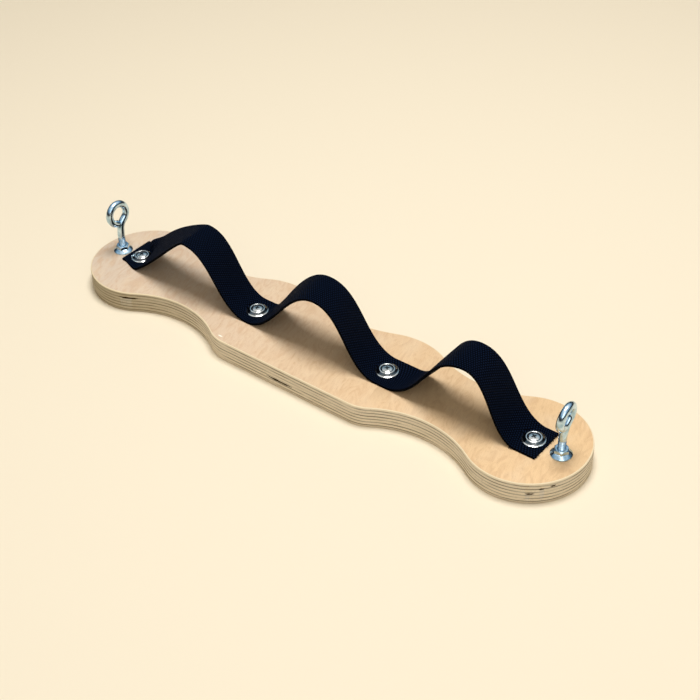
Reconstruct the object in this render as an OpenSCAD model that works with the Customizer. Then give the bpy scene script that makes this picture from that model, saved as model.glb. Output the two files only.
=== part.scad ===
// Hanging board with webbing loops: a contoured plywood board, one strip of webbing
// screwed down in three upright loops, and an eye bolt in each round end.
// X runs along the board, Y across it, Z up. The origin is the middle of the underside.

/* [Board] */
// Thickness of the plywood
board_t = 18; // [15:1:27]
// Distance from each eye bolt to the end of the board
end_margin = 19; // [14:0.5:30]
// Radius of each round end
end_r = 47; // [40:0.5:58]
// Radius of the hollows of the waists
waist_r = 80; // [66:1:96]
// Half width of the board at its front waists
waist_front = 28; // [24:0.5:33]
// Half width of the board at its back waists
waist_back = 31; // [26:0.5:36]
// Half width of the board at its straight front edge
mid_front = 45; // [38:0.5:54]
// Radius of the corners at the ends of the straight front edge
corner_r = 32; // [20:1:45]
// Radius of the two bulges of the back edge
bulge_r = 57; // [54:1:68]
// Half width of the board over the bulges of the back edge
bulge_back = 47; // [44:0.5:54]
// Radius of the hollow between the bulges of the back edge
hollow_r = 112; // [80:1:150]

/* [Strap] */
// Width of the webbing
strap_w = 32; // [25:1:45]
// Thickness of the webbing
strap_t = 1.8; // [1.2:0.1:3]
// Height of the middle of the webbing over the board at the tops of the loops
loop_h = [50.3, 51.2, 51.3]; // [35:0.5:60]
// Place of each loop's top between its two screws, as a share of the way
loop_top = [0.53, 0.53, 0.59]; // [0.45:0.01:0.6]
// Slope at which each loop leaves the board on its left, in degrees
loop_slope = [75, 30, 15]; // [0:5:85]
// Roundness of each loop's left side, from a straight ramp to a wide bow
loop_round = [0.1, 0.4, 0.45]; // [0.1:0.05:0.6]
// How far the left sides keep that slope, as a share of the way up
rise_reach = 0.4; // [0.2:0.05:0.6]
// Slope, reach and roundness of the right sides, the same for every loop
fall_slope = 30; // [0:5:60]
fall_reach = 0.5; // [0.2:0.05:0.7]
fall_round = 0.6; // [0.3:0.05:0.8]
// Distance between neighbouring strap screws
screw_pitch = 129; // [107:1:155]
// Length of webbing past the left and the right end screw
strap_tail = [12.5, 10.5]; // [9.5:0.5:13]
// Turn of the webbing out of line with the board, in degrees
strap_skew = 0.5; // [0:0.1:1.5]

/* [Strap screws] */
// Outer diameter of a screw's thread
screw_d = 4.8; // [3.5:0.1:5.5]
// Length of a screw from the rim of its head to its tip
screw_len = 18; // [12:0.5:19]
// Diameter of a screw's head
head_d = 9.2; // [7.5:0.1:10]
// Height of the dome of a screw's head
head_dome = 0.9; // [0.4:0.1:1.4]
// Outer diameter of a cup washer
cup_d = 18; // [14:0.5:19]
// Thickness of a cup washer's sheet
cup_sheet = 0.8; // [0.5:0.1:1.2]

/* [Eye bolts] */
// Gap between the flange of an eye bolt's nut and the end of the webbing
eye_gap = 2; // [1:0.5:10]
// Diameter of the eye bolts' wire and of their thread
wire_d = 6; // [5:0.5:8]
// Inner diameter of an eye
eye_inner = 11.6; // [10:0.2:16]
// Height of the middle of an eye over the board
eye_h = 35.5; // [32:0.5:60]
// Distance from the middle of an eye to the line of its shank
eye_offset = 2.5; // [0:0.1:5]
// Radius of the bend between shank and eye
neck_r = 11; // [6:0.5:14]
// Height of thread that shows over the board
thread_show = 14; // [12:0.5:18]
// Directions of the left and the right eye's plane, in degrees from the board's length
eye_turn = [89, 94]; // [0:1:180]
// Direction of the left eye's lean and how far it leans, in degrees
lean_left = [105, 8.5]; // [2:0.5:120]
// Direction of the right eye's lean and how far it leans, in degrees
lean_right = [45, 7]; // [2:0.5:120]

/* [Nuts] */
// Width of a flange nut across its flats
nut_af = 10; // [9:0.5:13]
// Height of a flange nut
nut_h = 6; // [5:0.5:8]
// Diameter of a flange nut's flange
nut_flange_d = 16; // [13.5:0.5:18]
// Wall of a tee nut's barrel
tee_wall = 0.9; // [0.7:0.1:1.5]
// Length of a tee nut's barrel over its flange
tee_barrel_l = 12; // [8:0.5:13]
// Diameter of a tee nut's flange
tee_flange_d = 19; // [15:0.5:22]
// Thickness of a tee nut's flange
tee_flange_t = 1.4; // [1:0.1:2]

/* [Clearances] */
// Radial clearance of the eye bolts in their nuts
thread_clear = 0.05; // [0.02:0.01:0.1]
// Radial clearance of the screws in the holes that they pass through
hole_clear = 0.3; // [0.1:0.05:0.5]
// Gap between seated metal pieces
seat_gap = 0.05; // [0.02:0.01:0.1]

/* [Hidden] */

$fn = 64;
eps = 0.01;

wood = "burlywood";
webbing = [0.06, 0.06, 0.08];
zinc = [0.74, 0.77, 0.8];
nickel = [0.8, 0.8, 0.8];

// A circle here is [centre x, centre y, radius]. Waist circles touch the round end from outside.
function waist(half, sign) =
    let (cy = waist_r + half)
    [end_x - sqrt(pow(end_r + waist_r, 2) - cy * cy), sign * cy, waist_r];

// A convex circle of radius r whose centre is at height y, on the inner side of a waist circle.
function beside(w, r, y) = [w[0] - sqrt(pow(w[2] + r, 2) - pow(w[1] - y, 2)), y, r];

// The direction from the middle of one circle to the middle of another.
function aim(a, b) = atan2(b[1] - a[1], b[0] - a[0]);

// Points along a circle from one angle to another, about arc_step degrees apart, without the last.
function arc(c, from, to) =
    let (n = ceil(abs(to - from) / arc_step))
    [for (i = [0:n - 1]) let (a = from + (to - from) * i / n) [c[0] + c[2] * cos(a), c[1] + c[2] * sin(a)]];

screw_x = [for (i = [0:3]) (i - 1.5) * screw_pitch];
eye_x = screw_x[3] + max(strap_tail) + eye_gap + nut_flange_d / 2;
end_x = eye_x + end_margin - end_r;
end_c = [end_x, 0, end_r];
front_waist = waist(waist_front, -1);
back_waist = waist(waist_back, 1);
corner = beside(front_waist, corner_r, corner_r - mid_front);
bulge = beside(back_waist, bulge_r, bulge_back - bulge_r);
// The hollow in the middle of the back edge touches both bulges.
hollow = [0, bulge[1] + sqrt(pow(bulge_r + hollow_r, 2) - pow(bulge[0], 2)), hollow_r];

// The right half of the outline, from the straight front edge to the middle of the back edge.
arc_step = 4;
half_outline = concat(
    arc(corner, -90, aim(corner, front_waist)),
    arc(front_waist, aim(front_waist, corner), aim(front_waist, end_c)),
    arc(end_c, aim(end_c, front_waist), aim(end_c, back_waist)),
    arc(back_waist, aim(back_waist, end_c), aim(back_waist, bulge)),
    arc(bulge, aim(bulge, back_waist), aim(bulge, hollow)),
    arc(hollow, aim(hollow, bulge), -90)
);

strap_z = board_t + strap_t / 2;
strap_top = board_t + strap_t;
// A loop is a rise and a fall. It leaves the board foot_gap away from a screw, so that it clears
// the cup washer. Reaches and roundness are shares of the way along between foot and top.
foot_clear = 0.2;
foot_gap = cup_d / 2 + strap_t / 2 + foot_clear;
loop_steps = 9;

// A screw's head is seated in the cone of its cup washer, whose lip stands over it.
cup_hole = screw_d / 2 + hole_clear;
cup_seat = head_d / 2 + seat_gap;
cup_crest = cup_seat + 0.75;
head_z = strap_top + cup_sheet / 2 + cup_seat - cup_hole;
cup_h = head_z - strap_top + 0.6;
head_cone = (head_d - screw_d) / 2;
screw_core = screw_d * 0.7;
screw_point = 3.5;
screw_thread_pitch = 2;
cross_w = 1.1;
cross_l = 4.6;
cross_depth = 1.8;

eye_mean = (eye_inner + wire_d) / 2;
eye_z = board_t + eye_h;
bend_z = board_t + thread_show;
neck_rise = sqrt(pow(neck_r + eye_mean, 2) - pow(neck_r + eye_offset, 2));
neck_angle = atan2(neck_rise, neck_r + eye_offset);
neck_z = eye_z - neck_rise;
eye_end = 268;
lean_r = 14;
bead_proud = 0.05;
bolt_tip = 1;
thread_pitch = 1;
thread_depth = 0.45;
chamfer = 0.6;
tee_barrel_d = wire_d + 2 * tee_wall;
tee_recess = tee_flange_t + 0.1;
prong = [1.2, 3.6, 5];
prongs = 4;

module outline() {
    last = len(half_outline) - 1;
    middle = [[0, hollow[1] - hollow_r]];
    mirrored = [for (i = [last:-1:0]) [-half_outline[i][0], half_outline[i][1]]];
    polygon(concat(half_outline, middle, mirrored));
}

module at_eyes() { for (s = [-1, 1]) translate([s * eye_x, 0, 0]) children(); }

module prong_ring() {
    for (a = [0:360 / prongs:359])
        rotate([0, 0, a + 45])
            translate([tee_flange_d / 2 - prong[0], 0, tee_recess])
                rotate([90, 0, 90])
                    linear_extrude(prong[0])
                        polygon([[-prong[1] / 2, -tee_flange_t / 2], [prong[1] / 2, -tee_flange_t / 2],
                                 [0, prong[2]]]);
}

module board() {
    color(wood) difference() {
        linear_extrude(board_t) outline();
        for (x = screw_x)
            translate([x, 0, head_z - screw_len])
                cylinder(d = screw_d, h = screw_len);
        at_eyes() {
            translate([0, 0, -eps]) cylinder(d = tee_barrel_d, h = tee_recess + tee_barrel_l + eps);
            cylinder(d = wire_d + 2 * hole_clear, h = board_t + 1);
            translate([0, 0, -eps]) cylinder(d = tee_flange_d + 2 * seat_gap, h = tee_recess + eps);
            prong_ring();
        }
    }
}

// Points of a cubic curve from p to s, without its last point.
function curve(p, q, r, s) = [
    for (i = [0:loop_steps - 1])
        let (t = i / loop_steps, u = 1 - t)
        u * u * u * p + 3 * u * u * t * q + 3 * u * t * t * r + t * t * t * s
];

function loop_points(i) =
    let (
        a = [screw_x[i] + foot_gap, strap_z],
        top = [screw_x[i] + loop_top[i] * screw_pitch, board_t + loop_h[i]],
        b = [screw_x[i + 1] - foot_gap, strap_z],
        up = top[0] - a[0],
        down = b[0] - top[0],
        slope = loop_slope[i]
    )
    concat(
        curve(a, a + up * rise_reach * [cos(slope), sin(slope)], top - [up * loop_round[i], 0], top),
        curve(top, top + [down * fall_round, 0],
              b + down * fall_reach * [-cos(fall_slope), sin(fall_slope)], b),
        [b]
    );

strap_line = concat(
    [[screw_x[0] - strap_tail[0], strap_z]],
    [for (i = [0:2]) each loop_points(i)],
    [[screw_x[3] + strap_tail[1], strap_z]]
);

function unit(v) = v / norm(v);
function left_of(v) = [-v[1], v[0]];
// The mitred offset of a point of a line, on its left for a positive distance.
function shifted(line, i, d) =
    let (
        last = len(line) - 1,
        n = left_of(unit(line[min(i + 1, last)] - line[min(i, last - 1)])),
        m = left_of(unit(line[max(i, 1)] - line[max(i - 1, 0)]))
    )
    line[i] + d * (m + n) / (1 + m * n);

module strap() {
    last = len(strap_line) - 1;
    color(webbing) difference() {
        rotate([0, 0, -strap_skew])
            translate([0, strap_w / 2, 0])
                rotate([90, 0, 0])
                    linear_extrude(strap_w)
                        polygon(concat(
                            [for (i = [0:last]) shifted(strap_line, i, strap_t / 2)],
                            [for (i = [last:-1:0]) shifted(strap_line, i, -strap_t / 2)]
                        ));
        for (x = screw_x)
            translate([x, 0, board_t - 1])
                cylinder(d = screw_d + 2 * hole_clear, h = strap_t + 2);
    }
}

module cup_washer(i) {
    r = cup_d / 2;
    cone_z = head_z - strap_top - (cup_seat - cup_hole);
    color(nickel) translate([screw_x[i], 0, strap_top])
        rotate_extrude()
            polygon([
                [r, 0], [r, cup_sheet * 0.6], [r - 0.3, cup_sheet],
                [cup_crest + 1.3, cup_h - 0.7], [cup_crest + 0.6, cup_h - 0.1], [cup_crest, cup_h],
                [cup_seat + 0.2, cup_h - 0.15], [cup_seat, head_z - strap_top],
                [cup_hole, cone_z], [cup_hole, 0],
                [cup_hole + cup_sheet, 0], [cup_seat + 0.2, cup_h - 0.6 - cup_sheet],
                [cup_crest + 0.6, cup_h - 0.1 - cup_sheet], [r - cup_sheet - 0.6, 0]
            ]);
}

// Rings of a thread along z, from the bottom up, as points of a half profile.
function thread_rings(r, depth, pitch, z0, z1) = [
    for (k = [0:floor((z1 - z0) / pitch) - 1])
        each [
            [r - depth, z0 + k * pitch],
            [r, z0 + (k + 0.35) * pitch],
            [r, z0 + (k + 0.6) * pitch],
            [r - depth, z0 + (k + 0.95) * pitch]
        ]
];

module strap_screw(i) {
    tip = head_z - screw_len;
    cone = head_z - head_cone;
    color(nickel) translate([screw_x[i], 0, 0]) difference() {
        rotate_extrude()
            polygon(concat(
                [[0, tip]],
                thread_rings(screw_d / 2, (screw_d - screw_core) / 2, screw_thread_pitch,
                             tip + screw_point, strap_top - screw_thread_pitch),
                [[screw_core / 2, strap_top - 1], [screw_d / 2, strap_top - 0.5], [screw_d / 2, cone],
                 [head_d / 2, head_z]],
                [for (a = [10:10:90])
                    [head_d / 2 * cos(a), head_z + head_dome * sin(a)]]
            ));
        for (a = [0, 90])
            rotate([0, 0, a + 20 * i])
                translate([-cross_l / 2, -cross_w / 2, head_z + head_dome - cross_depth])
                    cube([cross_l, cross_w, cross_depth + 1]);
    }
}

// Part of a ring of wire in the XZ plane, from one angle to another, around the origin.
module wire_arc(mean, from, to) {
    rotate([90, 0, 0])
        rotate([0, 0, from])
            rotate_extrude(angle = to - from, $fn = 96)
                translate([mean, 0]) circle(d = wire_d, $fn = 48);
}

// A bead where two stretches of wire meet.
module bead(p) { translate(p) sphere(d = wire_d + 2 * bead_proud); }

// The wire over height z, where it leans: straight shank, neck and eye, in the plane of the eye.
module eye_wire(z) {
    neck_start = [0, 0, neck_z - z];
    neck_end = neck_start + neck_r * [1 - cos(neck_angle), 0, sin(neck_angle)];
    cylinder(d = wire_d, h = neck_start[2]);
    bead([0, 0, 0]);
    bead(neck_start);
    translate(neck_start + [neck_r, 0, 0]) wire_arc(neck_r, 180 - neck_angle, 180);
    bead(neck_end);
    translate([-eye_offset, 0, eye_z - z]) wire_arc(eye_mean, -neck_angle, eye_end);
}

module eye_bolt(s, turn, lean) {
    color(zinc) translate([s * eye_x, 0, 0]) {
        rotate_extrude()
            polygon(concat(
                [[0, bolt_tip], [wire_d / 2 - chamfer - thread_depth, bolt_tip]],
                thread_rings(wire_d / 2, thread_depth, thread_pitch, bolt_tip + chamfer, bend_z - 1),
                [[wire_d / 2, bend_z - 0.5], [wire_d / 2, bend_z], [0, bend_z]]
            ));
        translate([0, 0, bend_z]) rotate([0, 0, lean[0]]) translate([lean_r, 0, 0]) {
            bead([-lean_r, 0, 0]);
            wire_arc(lean_r, 180 - lean[1], 180);
            rotate([0, lean[1], 0])
                translate([-lean_r, 0, 0])
                    rotate([0, 0, turn - lean[0]])
                        eye_wire(bend_z + lean_r * sin(lean[1]));
        }
    }
}

module flange_nut(s) {
    edge = 0.9;
    color(zinc) translate([s * eye_x, 0, board_t + seat_gap]) difference() {
        union() {
            cylinder(d = nut_flange_d, h = edge);
            translate([0, 0, edge])
                cylinder(d1 = nut_flange_d, d2 = nut_af + 0.6, h = nut_h / 2 - edge);
            intersection() {
                cylinder(d = nut_af / cos(30), h = nut_h, $fn = 6);
                cylinder(r1 = nut_af / 2 + nut_h - 0.3, r2 = nut_af / 2 - 0.3, h = nut_h);
            }
        }
        translate([0, 0, -1]) cylinder(d = wire_d + 2 * thread_clear, h = nut_h + 2);
    }
}

module tee_nut(s) {
    color(zinc) translate([s * eye_x, 0, 0]) difference() {
        union() {
            translate([0, 0, tee_recess - tee_flange_t]) cylinder(d = tee_flange_d, h = tee_flange_t);
            translate([0, 0, tee_recess - eps]) cylinder(d = tee_barrel_d, h = tee_barrel_l + eps);
            prong_ring();
        }
        translate([0, 0, -1]) cylinder(d = wire_d + 2 * thread_clear, h = board_t + 2);
    }
}

board();
strap();
cup_washer(0);  // cup_washer_1
cup_washer(1);  // cup_washer_2
cup_washer(2);  // cup_washer_3
cup_washer(3);  // cup_washer_4
strap_screw(0);  // strap_screw_1
strap_screw(1);  // strap_screw_2
strap_screw(2);  // strap_screw_3
strap_screw(3);  // strap_screw_4
eye_bolt(-1, eye_turn[0], lean_left);  // eye_bolt_left
eye_bolt(1, eye_turn[1], lean_right);  // eye_bolt_right
flange_nut(-1);  // flange_nut_left
flange_nut(1);  // flange_nut_right
tee_nut(-1);  // tee_nut_left
tee_nut(1);  // tee_nut_right
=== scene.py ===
import math
import random
from math import cos, pi, radians, sin

import bmesh
import bpy
from mathutils import Matrix, Vector


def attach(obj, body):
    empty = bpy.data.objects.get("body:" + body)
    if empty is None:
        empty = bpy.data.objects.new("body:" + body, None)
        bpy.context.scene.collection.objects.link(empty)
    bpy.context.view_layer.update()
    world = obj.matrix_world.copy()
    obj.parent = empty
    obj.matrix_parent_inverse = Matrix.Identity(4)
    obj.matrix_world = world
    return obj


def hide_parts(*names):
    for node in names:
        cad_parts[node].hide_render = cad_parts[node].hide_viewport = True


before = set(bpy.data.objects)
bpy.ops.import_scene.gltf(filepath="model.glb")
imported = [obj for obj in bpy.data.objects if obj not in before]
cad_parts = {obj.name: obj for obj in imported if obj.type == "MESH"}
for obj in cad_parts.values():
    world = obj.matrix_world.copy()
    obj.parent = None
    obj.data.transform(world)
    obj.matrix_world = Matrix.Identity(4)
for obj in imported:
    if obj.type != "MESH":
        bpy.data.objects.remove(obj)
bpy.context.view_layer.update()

mm = 0.001
scene = bpy.context.scene
random.seed(7)
print("frame loaded:", len(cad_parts), "nodes")


# helpers for materials

class Wire:
    # an output of a material's nodes; arithmetic on wires adds Math nodes
    def __init__(self, tree, socket):
        self.tree, self.socket = tree, socket

    def node(self, kind, settings=None, inputs=None, out=0):
        made = self.tree.nodes.new(kind)
        for name, value in (settings or {}).items():
            if name == "stops":
                while len(made.color_ramp.elements) < len(value):
                    made.color_ramp.elements.new(0.5)
                for stop, (place, colour) in zip(made.color_ramp.elements, value):
                    stop.position, stop.color = place, colour
            else:
                setattr(made, name, value)
        for name, value in (inputs or {}).items():
            if isinstance(value, Wire):
                self.tree.links.new(value.socket, made.inputs[name])
            else:
                made.inputs[name].default_value = value
        return Wire(self.tree, made.outputs[out])

    def maths(self, operation, *values):
        return self.node("ShaderNodeMath", {"operation": operation}, dict(enumerate(values)))

    def __add__(self, other):
        return self.maths("ADD", self, other)

    __radd__ = __add__

    def __sub__(self, other):
        return self.maths("SUBTRACT", self, other)

    def __rsub__(self, other):
        return self.maths("SUBTRACT", other, self)

    def __mul__(self, other):
        return self.maths("MULTIPLY", self, other)

    __rmul__ = __mul__

    def __truediv__(self, other):
        return self.maths("DIVIDE", self, other)

    def smooth(self, low, high):
        return self.node("ShaderNodeMapRange", {"interpolation_type": "SMOOTHSTEP"},
                         {"Value": self, "From Min": low, "From Max": high})

    def mixed(self, first, second, blend="MIX"):
        settings = {"data_type": "RGBA", "blend_type": blend}
        return self.node("ShaderNodeMix", settings, {0: self, 6: first, 7: second}, 2)

    def mapped(self, scale=(1, 1, 1), turn=0, place=(0, 0, 0)):
        return self.node("ShaderNodeMapping", {},
                         {"Vector": self, "Scale": scale, "Rotation": (0, 0, turn), "Location": place})

    def noise(self, scale=1.0, detail=3.0, rough=0.5, distort=0.0):
        return self.node("ShaderNodeTexNoise", {},
                         {"Vector": self, "Scale": scale, "Detail": detail, "Roughness": rough,
                          "Distortion": distort})

    def parts(self):
        made = self.tree.nodes.new("ShaderNodeSeparateXYZ")
        self.tree.links.new(self.socket, made.inputs[0])
        return [Wire(self.tree, s) for s in made.outputs]


def tint(code):
    # a colour written as six hexadecimal digits, made linear
    parts = [int(code[i:i + 2], 16) / 255 for i in (0, 2, 4)]
    return tuple(c / 12.92 if c < 0.04045 else ((c + 0.055) / 1.055) ** 2.4 for c in parts) + (1.0,)


def material(name, source="Object", **fixed):
    # a Principled shader with its fixed values, and the coordinates that its pattern reads
    made = bpy.data.materials.new(name)
    made.use_nodes = True
    tree = made.node_tree
    shader = tree.nodes["Principled BSDF"]
    for socket, value in fixed.items():
        shader.inputs[socket.replace("_", " ")].default_value = value
    coords = tree.nodes.new("ShaderNodeTexCoord")
    return made, shader, Wire(tree, coords.outputs[source])


def plug(shader, name, wire):
    wire.tree.links.new(wire.socket, shader.inputs[name])


def bump(height, strength, distance):
    return height.node("ShaderNodeBump", {}, {"Height": height, "Strength": strength, "Distance": distance})


# helpers for pieces

def finished(name, bm, mats, body, swaps=(), crease=35):
    # a piece from a bmesh: smooth shaded up to the crease angle, riding on its body
    mesh = bpy.data.meshes.new(name)
    bm.to_mesh(mesh)
    bm.free()
    piece = bpy.data.objects.new(name, mesh)
    scene.collection.objects.link(piece)
    for mat in mats:
        mesh.materials.append(mat)
    mesh.shade_smooth()
    mesh.set_sharp_from_angle(angle=radians(crease))
    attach(piece, body)
    if swaps:
        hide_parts(*swaps)
    return piece


def loose(name, bm):
    # a helper object that is used to cut a piece and then removed
    mesh = bpy.data.meshes.new(name)
    bm.to_mesh(mesh)
    bm.free()
    made = bpy.data.objects.new(name, mesh)
    scene.collection.objects.link(made)
    return made


def carved(bm, other, operation):
    # the bmesh after a boolean with another one
    first, second = loose("first", bm), loose("second", other)
    cut = first.modifiers.new("cut", "BOOLEAN")
    cut.operation, cut.object, cut.solver = operation, second, "EXACT"
    result = bmesh.new()
    result.from_object(first, bpy.context.evaluated_depsgraph_get())
    for made in (first, second):
        old = made.data
        bpy.data.objects.remove(made)
        bpy.data.meshes.remove(old)
    return result


def applied(piece):
    # the piece with its modifiers made part of its mesh
    new = bpy.data.meshes.new_from_object(piece.evaluated_get(bpy.context.evaluated_depsgraph_get()))
    piece.modifiers.clear()
    piece.data = new


def copied(node):
    # a merged copy of a frame node's mesh, with its flat areas whole again
    bm = bmesh.new()
    bm.from_mesh(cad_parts[node].data)
    bmesh.ops.remove_doubles(bm, verts=bm.verts, dist=1e-6)
    bmesh.ops.dissolve_limit(bm, angle_limit=radians(0.3), verts=bm.verts, edges=bm.edges)
    return bm


def rounded(bm, edges, width, segments=2):
    bmesh.ops.bevel(bm, geom=edges, offset=width, offset_type="OFFSET", segments=segments,
                    profile=0.5, affect="EDGES", material=-1, clamp_overlap=True)


def sharpEdges(bm, least):
    return [e for e in bm.edges if len(e.link_faces) == 2 and e.calc_face_angle(0) > radians(least)]


def turned(profile, steps, closed=True):
    # a profile of (radius, height) points spun round the Z axis
    bm = bmesh.new()
    verts = [bm.verts.new((r, 0, z)) for r, z in profile]
    pairs = list(zip(verts, verts[1:])) + ([(verts[-1], verts[0])] if closed else [])
    edges = [bm.edges.new(pair) for pair in pairs]
    bmesh.ops.spin(bm, geom=verts + edges, cent=(0, 0, 0), axis=(0, 0, 1), angle=2 * pi,
                   steps=steps, use_merge=True)
    bmesh.ops.remove_doubles(bm, verts=bm.verts, dist=1e-7)
    bmesh.ops.recalc_face_normals(bm, faces=bm.faces)
    return bm


def moved(bm, place):
    bmesh.ops.translate(bm, vec=place, verts=bm.verts)
    return bm


# the camera, the floor and the light

view = {"place": (0.56534, -0.64453, 0.68097), "turn": (51.874, 1.791, 38.345), "lens": 72.27}
lamp = {"key": ((0.05, 0.16, 1.9), 0.85, 30.0), "fill": ((1.0, -1.1, 1.2), 1.4, 6.0)}

camera = bpy.data.objects.new("camera", bpy.data.cameras.new("camera"))
camera.data.lens, camera.data.sensor_width = view["lens"], 36
camera.location = view["place"]
camera.rotation_euler = [radians(a) for a in view["turn"]]
scene.collection.objects.link(camera)
scene.camera = camera
scene.view_settings.view_transform = "Standard"

for name, (place, size, power) in lamp.items():
    light = bpy.data.lights.new(name, "AREA")
    light.shape, light.size, light.energy = "DISK", size, power
    holder = bpy.data.objects.new(name, light)
    holder.location = place
    holder.rotation_euler = (-Vector(place)).to_track_quat("-Z", "Y").to_euler()
    scene.collection.objects.link(holder)

world = bpy.data.worlds.new("studio")
world.use_nodes = True
scene.world = world
sky = Wire(world.node_tree, world.node_tree.nodes.new("ShaderNodeTexCoord").outputs["Generated"])
height = sky.parts()[2]
# an even sky for the light on things, and one with dark sides for what shows in metal
even = height.node("ShaderNodeValToRGB", {"stops": [
    (0.0, tint("cdb48a")), (0.5, tint("dcc8a4")), (1.0, tint("f4e6cc"))]}, {"Fac": height * 0.5 + 0.5})
sharp = height.node("ShaderNodeValToRGB", {"stops": [
    (0.45, tint("8f8a80")), (0.52, tint("1c1f24")), (0.66, tint("30353c")), (0.8, tint("a4c6de")),
    (0.93, tint("ffffff"))]}, {"Fac": height * 0.5 + 0.5})
shiny = height.node("ShaderNodeLightPath", out="Is Glossy Ray")
backdrop = world.node_tree.nodes["Background"]
world.node_tree.links.new(shiny.mixed(even, sharp).socket, backdrop.inputs["Color"])
world.node_tree.links.new((shiny * 0.6 + 0.3).socket, backdrop.inputs["Strength"])

bm = bmesh.new()
bmesh.ops.create_grid(bm, x_segments=2, y_segments=2, size=4)
floor = loose("floor", moved(bm, (0, 0, -0.1 * mm)))
floor.data.materials.append(material("paper", Roughness=0.9, Base_Color=tint("f3e8d1"))[0])
print("camera, floor and light placed")


# the plywood board

board = {"thick": 18 * mm, "plies": 13, "edgeRound": 0.9 * mm, "grainTurn": radians(16), "length": 470 * mm,
         "screwPitch": 129, "eyes": 216, "front": 45, "end": 47}        # the last four in mm, as in the part

screwPlaces = [(i - 1.5) * board["screwPitch"] * mm for i in range(4)]

# gaps in the core veneers that show in the edge. End 0 is the straight front edge, where along is in mm
# from the middle. At the round ends, -1 and 1, it is the angle from the tip. Long is the half length.
gaps = [{"end": 0, "along": -5, "veneer": 5, "long": 12}, {"end": -1, "along": 115, "veneer": 10, "long": 9},
        {"end": 1, "along": 45, "veneer": 10, "long": 2}, {"end": 1, "along": 55, "veneer": 7, "long": 3},
        {"end": 1, "along": 35, "veneer": 11, "long": 2}]


def gapShape(end, along, veneer, long):
    place, turn = Vector((along, -board["front"], 0)), 0
    if end:
        centre = end * (board["length"] / mm / 2 - board["end"])
        tip = Vector((end * cos(radians(along)), -sin(radians(along)), 0))
        place, turn = Vector((centre, 0, 0)) + tip * board["end"], end * (90 - along)
    place.z = (veneer - 0.5) * board["thick"] / mm / board["plies"]
    return place, turn, (long, 0.9 + long / 15, 0.65 + long / 80)      # a longer gap is deeper and higher


voids = [gapShape(**gap) for gap in gaps]
chipPlace = (2.7, 58.6, 0)      # moves the turned pattern of the pale chip to near the second screw


def faceVeneer():
    mat, shader, at = material("birchFace", Roughness=0.55, Specular_IOR_Level=0.35)
    inMm = at.mapped((1000, 1000, 1000))
    grain = inMm.mapped(turn=-board["grainTurn"])
    x = at.parts()[0] / board["length"] + 0.5
    along = x + (grain.mapped((0.02, 0.02, 0.02)).noise() - 0.5) * 0.25
    base = along.node("ShaderNodeValToRGB", {"stops": [
        (0.05, tint("dccab6")), (0.3, tint("e4ccb1")), (0.6, tint("e8c9a2")), (0.95, tint("edca9b"))]},
        {"Fac": along})
    figure = grain.mapped((0.13, 0.05, 0.05)).noise(detail=5, distort=2.2)
    clouds = grain.mapped((0.05, 0.03, 0.05)).noise(detail=3)
    fibre = grain.mapped((2.4, 0.07, 1)).noise(detail=3, rough=0.6)
    pores = grain.mapped((5.0, 0.45, 1)).noise(detail=2).smooth(0.62, 0.72)
    colour = (figure.smooth(0.4, 0.7) * 0.4).mixed(base, tint("cda479"))
    colour = (clouds.smooth(0.45, 0.75) * 0.35).mixed(colour, tint("f0d9b8"))
    colour = (fibre.smooth(0.4, 0.75) * 0.2).mixed(colour, tint("b98f66"))
    colour = (pores * 0.4).mixed(colour, tint("8f6a48"))
    chipX, chipY = inMm.mapped((0.4, 1.3, 1), radians(25), chipPlace).parts()[:2]
    colour = (1 - (chipX * chipX + chipY * chipY).smooth(0.5, 1.1)).mixed(colour, tint("fdf6e6"))
    plug(shader, "Base Color", colour)
    plug(shader, "Roughness", fibre * 0.2 + 0.42)
    plug(shader, "Normal", bump(fibre + pores * -0.6, 0.25, 0.0002))
    return mat


def plyEdge():
    mat, shader, at = material("plyEdge", Roughness=0.7, Specular_IOR_Level=0.25)
    inMm = at.mapped((1000, 1000, 1000))
    x, y, z = inMm.parts()
    pair = 2 * board["thick"] / mm / board["plies"]
    wobble = (inMm.mapped((0.03, 0.03, 0.2)).noise() - 0.5) * 0.5
    phase = (z + wobble) * (2 * pi / pair) - 1.5 * pi
    wave = phase.maths("COSINE", phase)
    strength = inMm.mapped((0.04, 0.04, 0.36)).noise(detail=4)
    cross = wave.smooth(0.3, 0.9) * strength.smooth(0.25, 0.6)
    streak = inMm.mapped((0.12, 0.12, 3.2)).noise(detail=4, rough=0.6)
    ticks = inMm.mapped((1.6, 1.6, 0.9)).noise(detail=2)
    # painted shade: the ply edge grows darker and greyer towards the left end
    left = (x * -1).smooth(60, 190)
    light = (left * 0.75).mixed(tint("ecdfc8"), tint("aa9c7e"))
    dark = (left * 0.6).mixed(tint("857a66"), tint("73694f"))
    colour = cross.mixed(light, dark)
    colour = (streak.smooth(0.45, 0.8) * 0.45).mixed(colour, tint("8f7f60"))
    colour = (ticks.smooth(0.55, 0.75) * 0.25).mixed(colour, tint("5d5140"))
    rim = z.smooth(board["thick"] / mm - 1.0, board["thick"] / mm - 0.5)
    colour = (rim * 0.85).mixed(colour, tint("f4e3c0"))
    plug(shader, "Base Color", colour)
    plug(shader, "Normal", bump(streak - cross * 0.5, 0.35, 0.0003))
    return mat


def coreVoidPaintedShade():
    # the inside of each core gap is painted dark brown: painted shade in the pocket
    mat, shader, at = material("coreVoidPaintedShade", Roughness=0.9, Specular_IOR_Level=0.1)
    shade = at.mapped((1000, 1000, 1000)).noise(0.8, 2)
    plug(shader, "Base Color", shade.mixed(tint("2b2117"), tint("6b5233")))
    return mat


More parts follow.
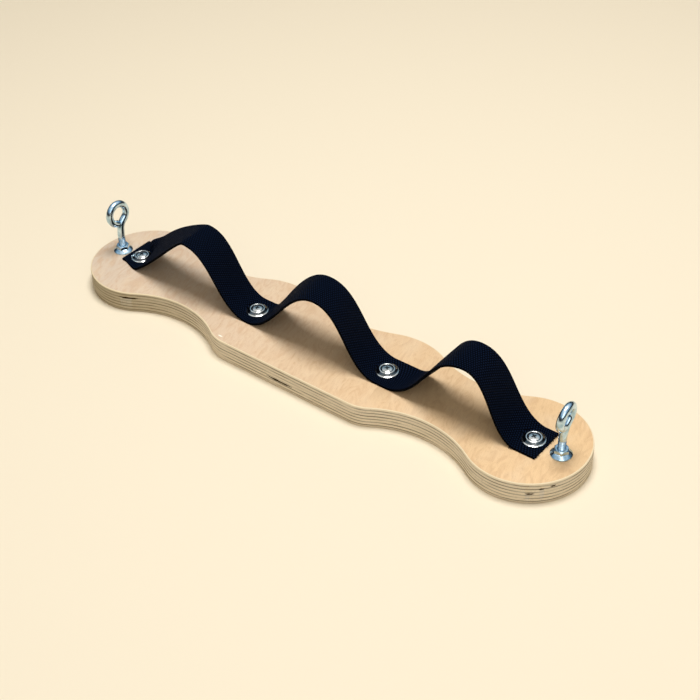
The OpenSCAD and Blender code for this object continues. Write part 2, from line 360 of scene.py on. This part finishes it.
def makeBoard():
    bm = copied("board")
    holes = [Vector((side * board["eyes"] * mm, 0)) for side in (-1, 1)]
    holes += [Vector((place, 0)) for place in screwPlaces]
    rims = []
    for e in sharpEdges(bm, 80):
        flat = sorted(abs(f.normal.z) for f in e.link_faces)
        middle = (e.verts[0].co + e.verts[1].co) / 2
        away = min((middle.xy - h).length for h in holes)
        if flat[0] < 0.05 and flat[1] > 0.99 and away > 14 * mm:
            rims.append(e)
    rounded(bm, rims, board["edgeRound"], 3)
    for place, turn, half in voids:
        cutter = bmesh.new()
        bmesh.ops.create_icosphere(cutter, subdivisions=3, radius=1)
        for v in cutter.verts:
            v.co *= 1 + 0.18 * sin(7 * v.co.x + 3 * v.co.z)
        bmesh.ops.scale(cutter, vec=[h * mm for h in half], verts=cutter.verts)
        bmesh.ops.rotate(cutter, cent=(0, 0, 0), matrix=Matrix.Rotation(radians(turn), 3, "Z"),
                         verts=cutter.verts)
        moved(cutter, [p * mm for p in place])
        bm = carved(bm, cutter, "DIFFERENCE")
    for f in bm.faces:
        middle = f.calc_center_median()
        inVoid = False
        for place, turn, half in voids:
            local = Matrix.Rotation(radians(-turn), 3, "Z") @ (middle / mm - place)
            out = math.sqrt(sum((c / h) ** 2 for c, h in zip(local, half)))
            level = abs(f.normal.z) < 0.02 and len(f.verts) > 3
            if out < 1.22 and not level:
                inVoid = True
        flat = abs(f.normal.z) > 0.999 and (middle.z < 1e-5 or middle.z > board["thick"] - 1e-5)
        f.material_index = 2 if inVoid else 0 if flat else 1
    return finished("board_plywood", bm, [faceVeneer(), plyEdge(), coreVoidPaintedShade()], "board",
                    ["board"], 30)


makeBoard()
print("board made")


# the webbing strap

strap = {"wide": 32 * mm, "thick": 1.8 * mm, "row": 1.25 * mm, "columns": 26, "rib": 2.0, "yarn": 1.8,
         "bow": 0.5 * mm, "press": 9.3 * mm, "pressSlope": 3, "lift": 0.04 * mm,
         "fold": 11 * mm, "foldHeight": 6 * mm, "foldReach": 9 * mm, "tails": (12.5, 10.5),
         "flapTurn": 5 * mm, "flapLength": 20 * mm}

# the loops: height and place of the top as in the part, gap from the screw to the foot, slope at the
# foot on the front and back edge, how far that slope is kept, and roundness; then how much further
# along the front edge is than the middle at the foot, the top and the end, in mm
loops = [{"high": 50.3, "top": 0.53, "gap": 7, "slope": (30, 95), "reach": 0.4, "round": 0.1,
          "lead": (0, 0, 3)},
         {"high": 51.2, "top": 0.53, "gap": 7, "slope": (10, 50), "reach": 0.4, "round": 0.4,
          "lead": (-2, 5, 2)},
         {"high": 51.3, "top": 0.59, "gap": 17, "slope": (10, 20), "reach": 0.5, "round": 0.5,
          "lead": (-5, 3, -3)}]
fall = {"gap": 4, "slope": 12, "reach": 0.5, "round": 0.52}


def cubic(p, q, r, s, t):
    u = 1 - t
    return u * u * u * p + 3 * u * u * t * q + 3 * u * t * t * r + t * t * t * s


def edgeSpans(side):
    # one edge of the webbing as cubic curves, each four points: flat, rise and fall three times, flat
    low = strap["thick"] / 2 / mm
    screws = [place / mm for place in screwPlaces]
    here, spans = Vector((screws[0] - strap["tails"][0], low)), []
    for i, loop in enumerate(loops):
        lead = [-side * value for value in loop["lead"]]
        pitch = screws[i + 1] - screws[i]
        foot = Vector((screws[i] + loop["gap"] + lead[0], low))
        top = Vector((screws[i] + loop["top"] * pitch + lead[1], loop["high"]))
        end = Vector((screws[i + 1] - fall["gap"] + lead[2], low))
        up, down = top.x - foot.x, end.x - top.x
        slope = radians(loop["slope"][0 if side < 0 else 1])
        start = Vector((cos(slope), sin(slope))) * up * loop["reach"]
        stop = Vector((-cos(radians(fall["slope"])), sin(radians(fall["slope"])))) * down * fall["reach"]
        spans.append((here, here.lerp(foot, 1 / 3), here.lerp(foot, 2 / 3), foot))
        spans.append((foot, foot + start, top - Vector((up * loop["round"], 0)), top))
        spans.append((top, top + Vector((down * fall["round"], 0)), end + stop, end))
        here = end
    last = Vector((screws[3] + strap["tails"][1], low))
    return spans + [(here, here.lerp(last, 1 / 3), here.lerp(last, 2 / 3), last)]


def eased(t):
    t = min(1, max(0, t))
    return t * t * (3 - 2 * t)


def edgeRows():
    # pairs of places on the two edges, one row of webbing apart, and how far along each is
    rows = []
    for front, back in zip(edgeSpans(-1), edgeSpans(1)):
        middle = [(f + b) / 2 for f, b in zip(front, back)]
        size = sum((cubic(*middle, (k + 1) / 8) - cubic(*middle, k / 8)).length for k in range(8))
        count = max(2, round(size * mm / strap["row"]))
        rows += [[cubic(*front, k / count), cubic(*back, k / count)] for k in range(count)]
    rows.append([front[3], back[3]])
    for ease in range(6):        # no sharp creases where a loop leaves the board
        rows = [rows[0]] + [[(a + 2 * b + c) / 4 for a, b, c in zip(*three)]
                            for three in zip(rows, rows[1:], rows[2:])] + [rows[-1]]
    rows = [[front * mm, back * mm] for front, back in rows]
    reach = [0.0]
    for (a, b), (c, d) in zip(rows, rows[1:]):
        reach.append(reach[-1] + ((c + d) / 2 - (a + b) / 2).length)
    return rows, reach


def webbing(length):
    mat, shader, at = material("webbing", "UV", Roughness=0.85, Specular_IOR_Level=0.03)
    wide, long = strap["wide"] / mm, length / mm
    u, v = at.mapped((long, wide, 1)).parts()[:2]       # millimetres along and across
    yarn = v / strap["yarn"]
    column = yarn.maths("FLOOR", yarn)
    inYarn = (yarn - column) - 0.5
    run = u / strap["rib"] + column * 0.5
    rib = run.maths("FRACT", run) - 0.5
    hump = (1 - inYarn * inYarn * 4) * 0.45 + (1 - rib * rib * 4) * 0.75
    fuzz = at.mapped((long * 4, wide * 4, 1)).noise(1.0, 2)
    worn = at.mapped((long * 0.05, wide * 0.05, 1)).noise(1.0, 3)
    shine = (hump + (fuzz - 0.5) * 0.5).smooth(0.75, 1.3)
    base = shine.mixed(tint("000106"), tint("101f38"))
    base = (worn.smooth(0.5, 0.8) * 0.2).mixed(base, tint("070d17"))
    plug(shader, "Base Color", base)
    plug(shader, "Roughness", 0.85 - shine * 0.25)
    plug(shader, "Normal", bump(hump + fuzz * 0.35, 1.0, 0.0007))
    return mat


frayed = {"thick": 0.14 * mm, "long": (0.7, 1.9), "ends": 70, "tuft": 16, "tuftPlace": (185, -16, 19.2)}


def frayedYarn():
    mat, shader, at = material("frayedYarn", Roughness=0.9, Specular_IOR_Level=0.05)
    shade = at.mapped((1000, 1000, 1000)).noise(1.5, 2)
    plug(shader, "Base Color", shade.mixed(tint("010308"), tint("101a29")))
    return mat


def addYarn(bm, place, way):
    long = random.uniform(*frayed["long"]) * mm
    way = (Vector(way) + Vector([random.uniform(-0.45, 0.45) for i in range(3)])).normalized()
    aim = way.to_track_quat("Z", "Y").to_matrix().to_4x4()
    stand = Matrix.Translation(Vector(place) + way * long * 0.4) @ aim
    bmesh.ops.create_cone(bm, cap_ends=True, segments=5, radius1=frayed["thick"],
                          radius2=frayed["thick"] * 0.3, depth=long, matrix=stand)


def makeFray(first, last):
    # loose yarns at the two cut ends and a tuft by the last foot
    bm = bmesh.new()
    half, low = strap["wide"] / 2, board["thick"] + 0.5 * mm
    for (front, back), sign, shift in ((first, -1, strap["flapTurn"]), (last, 1, 0)):
        for i in range(frayed["ends"]):
            y = random.uniform(-half, half) + shift
            addYarn(bm, (front.x, y, low + random.uniform(0, 1) * mm), (sign, 0, 0.05))
    for i in range(frayed["tuft"]):
        spot = Vector(frayed["tuftPlace"]) + Vector((random.uniform(-2, 2), 0, random.uniform(-0.4, 0.4)))
        addYarn(bm, spot * mm, (0.2, -1, -0.1))
    return finished("strap_fray", bm, [frayedYarn()], "board", [], 60)


def makeStrap():
    pairs, reach = edgeRows()
    rows, columns, length = len(pairs) - 1, strap["columns"], reach[-1]
    level = board["thick"] + strap["thick"] / 2 + strap["lift"]
    bm = bmesh.new()
    weave = bm.loops.layers.uv.new("weave")
    bmesh.ops.create_grid(bm, x_segments=rows, y_segments=columns, size=0.5)
    spots = {v: (round((v.co.x + 0.5) * rows), v.co.y * 2) for v in bm.verts}      # side is -1 at the front
    for face in bm.faces:
        for corner in face.loops:
            row, side = spots[corner.vert]
            corner[weave].uv = (reach[row] / length, (side + 1) / 2)
    for v, (row, side) in spots.items():
        front, back = pairs[row]
        here = front.lerp(back, (side + 1) / 2)
        y = side * strap["wide"] / 2
        y += strap["flapTurn"] * eased((screwPlaces[0] + 8 * mm - here.x) / strap["flapLength"])
        up = here.y / (50 * mm)
        x, z = here.x, board["thick"] + here.y + strap["bow"] * eased(up) * (1 - side * side)
        if here.x < -150 * mm and row > 10:       # the back half of the first loop folds over at its foot
            near = (here.y - strap["foldHeight"]) / strap["foldReach"]
            x -= strap["fold"] * eased((side - 0.3) / 0.7) * math.exp(-near * near) * eased(here.y / mm - 1)
        nearest = min(screwPlaces, key=lambda place: abs(place - x))
        away = math.hypot(x - nearest, y)
        pressed = level + max(0, away - strap["press"]) * strap["pressSlope"]
        v.co = Vector((x, y, max(level, min(z, pressed))))
    bmesh.ops.recalc_face_normals(bm, faces=bm.faces)
    piece = finished("strap_webbing", bm, [webbing(length)], "board", ["strap"], 60)
    wall = piece.modifiers.new("wall", "SOLIDIFY")
    wall.thickness, wall.offset = strap["thick"] - strap["lift"], 0
    soften = piece.modifiers.new("soften", "BEVEL")
    soften.width, soften.segments, soften.limit_method, soften.angle_limit = 0.6 * mm, 2, "ANGLE", radians(60)
    applied(piece)
    fray = makeFray(pairs[0], pairs[-1])
    print(f"strap of {length / mm:.1f} mm")
    return piece


makeStrap()
print("strap made")


# metal finishes

def metal(name, light, dark, rough, spots, paintedShadeRings=()):
    mat, shader, at = material(name, Metallic=1.0, Roughness=rough)
    inMm = at.mapped((1000, 1000, 1000))
    cloud = inMm.noise(0.25, 3)
    grit = inMm.noise(2.5, 3)
    colour = cloud.smooth(0.35, 0.7).mixed(tint(light), tint(dark))
    colour = (grit.smooth(0.6, 0.75) * spots).mixed(colour, tint("8a8f92"))
    for inner, outer, amount in paintedShadeRings:       # painted shade: darker rings round each screw, on the washer's outer slope and in its groove
        x, y = inMm.parts()[:2]
        half = board["screwPitch"] / 2
        fromScrew = x.maths("WRAP", x - half, half, -half)
        radius = x.maths("SQRT", fromScrew * fromScrew + y * y)
        ring = radius.smooth(inner - 0.25, inner + 0.15) * (1 - radius.smooth(outer - 0.15, outer + 0.25))
        colour = (ring * amount).mixed(colour, tint("2c3034"))
    plug(shader, "Base Color", colour)
    plug(shader, "Roughness", grit * 0.2 + (rough - 0.1))
    plug(shader, "Normal", bump(grit, 0.12, 0.0001))
    return mat


zinc = metal("zincPlate", "cfe3f0", "9dbacb", 0.2, 0.25)
# the listed rings darken each washer's outer slope and the groove by the screw head: painted shade
nickel = metal("nickelPlate", "dcdcd8", "bdbdb8", 0.14, 0.15, [(6.3, 8.0, 0.8), (4.5, 4.95, 0.95)])
# a darker copy of the plating for the screws' cross recesses: painted shade
recessShade = metal("recessPaintedShade", "4a4d50", "2e3134", 0.4, 0.2)


# cup washers and their screws

washer = {"outer": 9, "high": 2.95, "seat": 4.65, "hole": 2.7}
screw = {"thread": 2.4, "core": 1.68, "head": 4.6, "dome": 0.9, "long": 18, "pitch": 2, "slot": 1.1,
         "cross": 4.6, "deep": 1.8, "headHeight": 22.15}
strapTop = 19.8


def makeWasher(i):
    cone = screw["headHeight"] - strapTop - (washer["seat"] - washer["hole"])
    r, seat, high = washer["outer"], washer["seat"], washer["high"]
    profile = [(r, 0.1), (r, 0.5), (r - 0.12, 0.72), (r - 0.4, 0.82), (8.0, 1.0), (7.3, 1.6), (6.7, 2.25),
               (6.35, 2.62), (6.0, 2.84), (5.7, 2.93), (5.4, high), (5.1, 2.9), (4.85, 2.76), (4.7, 2.5),
               (seat, screw["headHeight"] - strapTop), (washer["hole"], cone), (washer["hole"], 0.06),
               (washer["hole"] + 0.8, 0.06), (4.85, 1.55), (6.0, 2.05), (7.0, 0.7), (7.7, 0.06), (8.8, 0.06)]
    bm = turned([(a * mm, b * mm) for a, b in profile], 64)
    moved(bm, (screwPlaces[i], 0, strapTop * mm))
    node = f"cup_washer_{i + 1}"
    finished(f"{node}_pressed", bm, [nickel], "board", [node], 50)


def makeScrew(i):
    top, tip = screw["headHeight"], screw["headHeight"] - screw["long"]
    rim, core, full = screw["head"], screw["core"], screw["thread"]
    profile = [(0, tip)]
    z = tip + 3.5
    while z + screw["pitch"] < strapTop - 1.5:
        profile += [(core, z), (full, z + 0.35 * screw["pitch"]), (full, z + 0.55 * screw["pitch"]),
                    (core, z + 0.9 * screw["pitch"])]
        z += screw["pitch"]
    edge = top + 0.05
    profile += [(core, strapTop - 1), (full, strapTop - 0.5), (full, top - (rim - full)),
                (rim - 0.08, top - 0.08), (rim, edge)]
    profile += [(rim * cos(radians(a)), edge + screw["dome"] * sin(radians(a))) for a in range(15, 90, 15)]
    profile += [(0, edge + screw["dome"])]
    bm = turned([(a * mm, b * mm) for a, b in profile], 48, closed=False)
    for turn in (0, 90):
        cutter = bmesh.new()
        bmesh.ops.create_cube(cutter, size=1)
        for v in cutter.verts:
            lower = v.co.z < 0
            v.co.x *= 0.45 if lower else 1.15
            v.co.y *= 0.7 if lower else 1.15
        bmesh.ops.scale(cutter, vec=[screw["cross"] * mm, screw["slot"] * mm, (screw["deep"] + 1) * mm],
                        verts=cutter.verts)
        middle = top + screw["dome"] - screw["deep"] + (screw["deep"] + 1) / 2
        moved(cutter, (0, 0, middle * mm))
        spinBy = Matrix.Rotation(radians(turn + 20 * i), 3, "Z")
        bmesh.ops.rotate(cutter, cent=(0, 0, 0), matrix=spinBy, verts=cutter.verts)
        bm = carved(bm, cutter, "DIFFERENCE")
    for f in bm.faces:
        middle = f.calc_center_median() / mm
        out = middle.xy.length
        surface = edge + screw["dome"] * math.sqrt(max(0, 1 - (out / rim) ** 2))
        # faces inside the cross recess take the darker plating, painted shade in the recess
        f.material_index = int(out < screw["cross"] / 2 and top - 2 < middle.z < surface - 0.12)
    moved(bm, (screwPlaces[i], 0, 0))
    node = f"strap_screw_{i + 1}"
    finished(f"{node}_cross", bm, [nickel, recessShade], "board", [node], 40)


for i in range(4):
    makeWasher(i)
    makeScrew(i)
print("washers and screws made")


# eye bolts

eye = {"wire": 6, "mean": 8.8, "high": 53.5, "offset": 2.5, "neck": 11, "bend": 32,
       "leanRadius": 14, "end": 268, "tip": 1, "pitch": 1, "depth": 0.45}
eyeBends = {"left": (-1, 89, 105, 8.5), "right": (1, 94, 45, 7)}     # side, turn, lean direction, lean


def onward(bm, ring, centre, axis, angle, steps):
    made = bmesh.ops.spin(bm, geom=ring, cent=centre, axis=axis, angle=angle, steps=steps)
    return [g for g in made["geom_last"] if not isinstance(g, bmesh.types.BMFace)]


def ahead(bm, ring, way, scale=1.0):
    edges = [g for g in ring if isinstance(g, bmesh.types.BMEdge)]
    made = bmesh.ops.extrude_edge_only(bm, edges=edges)["geom"]
    verts = [g for g in made if isinstance(g, bmesh.types.BMVert)]
    bmesh.ops.translate(bm, vec=way, verts=verts)
    middle = sum((v.co for v in verts), Vector()) / len(verts)
    bmesh.ops.scale(bm, vec=(scale, scale, scale), space=Matrix.Translation(-middle), verts=verts)
    return verts + [g for g in made if isinstance(g, bmesh.types.BMEdge) and all(v in verts for v in g.verts)]


def makeThread(bottom, top, radius, depth, pitch):
    # a helical thread: one turn's profile carried up while it spins
    bm = bmesh.new()
    profile = [(radius - depth, 0), (radius - 0.05, 0.38), (radius, 0.42), (radius, 0.55),
               (radius - 0.05, 0.59), (radius - depth, 0.97), (radius - depth, 1)]
    verts = [bm.verts.new((r * mm, 0, (bottom - pitch + z * pitch) * mm)) for r, z in profile]
    edges = [bm.edges.new(pair) for pair in zip(verts, verts[1:])]
    turns, sides = math.ceil((top - bottom) / pitch) + 2, 28
    bmesh.ops.spin(bm, geom=verts + edges, cent=(0, 0, 0), axis=(0, 0, 1), dvec=(0, 0, pitch * mm / sides),
                   angle=2 * pi * turns, steps=sides * turns)
    bmesh.ops.remove_doubles(bm, verts=bm.verts, dist=1e-6)
    for z, outer in ((top, True), (bottom, False)):
        everything = list(bm.verts) + list(bm.edges) + list(bm.faces)
        bmesh.ops.bisect_plane(bm, geom=everything, plane_co=(0, 0, z * mm), plane_no=(0, 0, 1),
                               clear_outer=outer, clear_inner=not outer)
    bmesh.ops.holes_fill(bm, edges=[e for e in bm.edges if e.is_boundary], sides=0)
    bmesh.ops.recalc_face_normals(bm, faces=bm.faces)
    return bm


def makeEye(name):
    side, turn, leanWay, lean = eyeBends[name]
    radius = eye["wire"] / 2
    thread = makeThread(eye["tip"] + 0.4, eye["bend"] - 1, radius, eye["depth"], eye["pitch"])
    bm = bmesh.new()
    bmesh.ops.create_circle(bm, segments=28, radius=(radius - eye["depth"] * 0.7) * mm, cap_ends=True)
    moved(bm, (0, 0, (eye["bend"] - 2.2) * mm))
    ring = list(bm.verts) + list(bm.edges)
    ring = ahead(bm, ring, (0, 0, 1.4 * mm))
    ring = ahead(bm, ring, (0, 0, 0.3 * mm), radius / (radius - eye["depth"] * 0.7))
    ring = ahead(bm, ring, (0, 0, 0.5 * mm))
    way = radians(leanWay)
    outward = Vector((cos(way), sin(way), 0))
    tipped = Vector((-sin(way), cos(way), 0))
    base = Vector((0, 0, eye["bend"] * mm))
    leanBy = Matrix.Rotation(radians(lean), 4, tipped)
    pivot = base + outward * eye["leanRadius"] * mm
    ring = onward(bm, ring, pivot, tipped, radians(lean), 3)
    rise = eye["leanRadius"] * sin(radians(lean))
    frameOf = (Matrix.Translation(pivot) @ leanBy @ Matrix.Translation(-pivot) @ Matrix.Translation(base)
               @ Matrix.Rotation(radians(turn), 4, "Z"))
    across = frameOf.to_3x3() @ Vector((0, 1, 0))
    neckRise = math.sqrt((eye["neck"] + eye["mean"]) ** 2 - (eye["neck"] + eye["offset"]) ** 2)
    neckTurn = math.atan2(neckRise, eye["neck"] + eye["offset"])
    neckStart = eye["high"] - neckRise - eye["bend"] - rise
    ring = ahead(bm, ring, frameOf.to_3x3() @ Vector((0, 0, neckStart * mm)))
    ring = onward(bm, ring, frameOf @ Vector((eye["neck"] * mm, 0, neckStart * mm)), across, neckTurn, 8)
    middle = frameOf @ Vector((-eye["offset"] * mm, 0, (eye["high"] - eye["bend"] - rise) * mm))
    ring = onward(bm, ring, middle, across, -(radians(eye["end"]) + neckTurn), 52)
    wayOut = frameOf.to_3x3() @ Vector((-sin(radians(eye["end"])), 0, cos(radians(eye["end"]))))
    ring = ahead(bm, ring, wayOut * 0.25 * mm, 0.86)
    bmesh.ops.contextual_create(bm, geom=[g for g in ring if isinstance(g, bmesh.types.BMEdge)])
    bmesh.ops.recalc_face_normals(bm, faces=bm.faces)
    bm = carved(bm, thread, "UNION")
    moved(bm, (side * board["eyes"] * mm, 0, 0))
    node = f"eye_bolt_{name}"
    finished(f"{node}_wire", bm, [zinc], f"eye_{name}", [node], 40)


for name in eyeBends:
    makeEye(name)
print("eye bolts made")


# nuts

def softened(node, name, mat, body, width, least=25):
    bm = copied(node)
    rounded(bm, sharpEdges(bm, least), width)
    return finished(name, bm, [mat], body, [node], 30)


for name in eyeBends:
    softened(f"flange_nut_{name}", f"flange_nut_{name}_hex", zinc, f"nut_{name}", 0.12 * mm)
    softened(f"tee_nut_{name}", f"tee_nut_{name}_pronged", zinc, "board", 0.08 * mm)
print("nuts made")
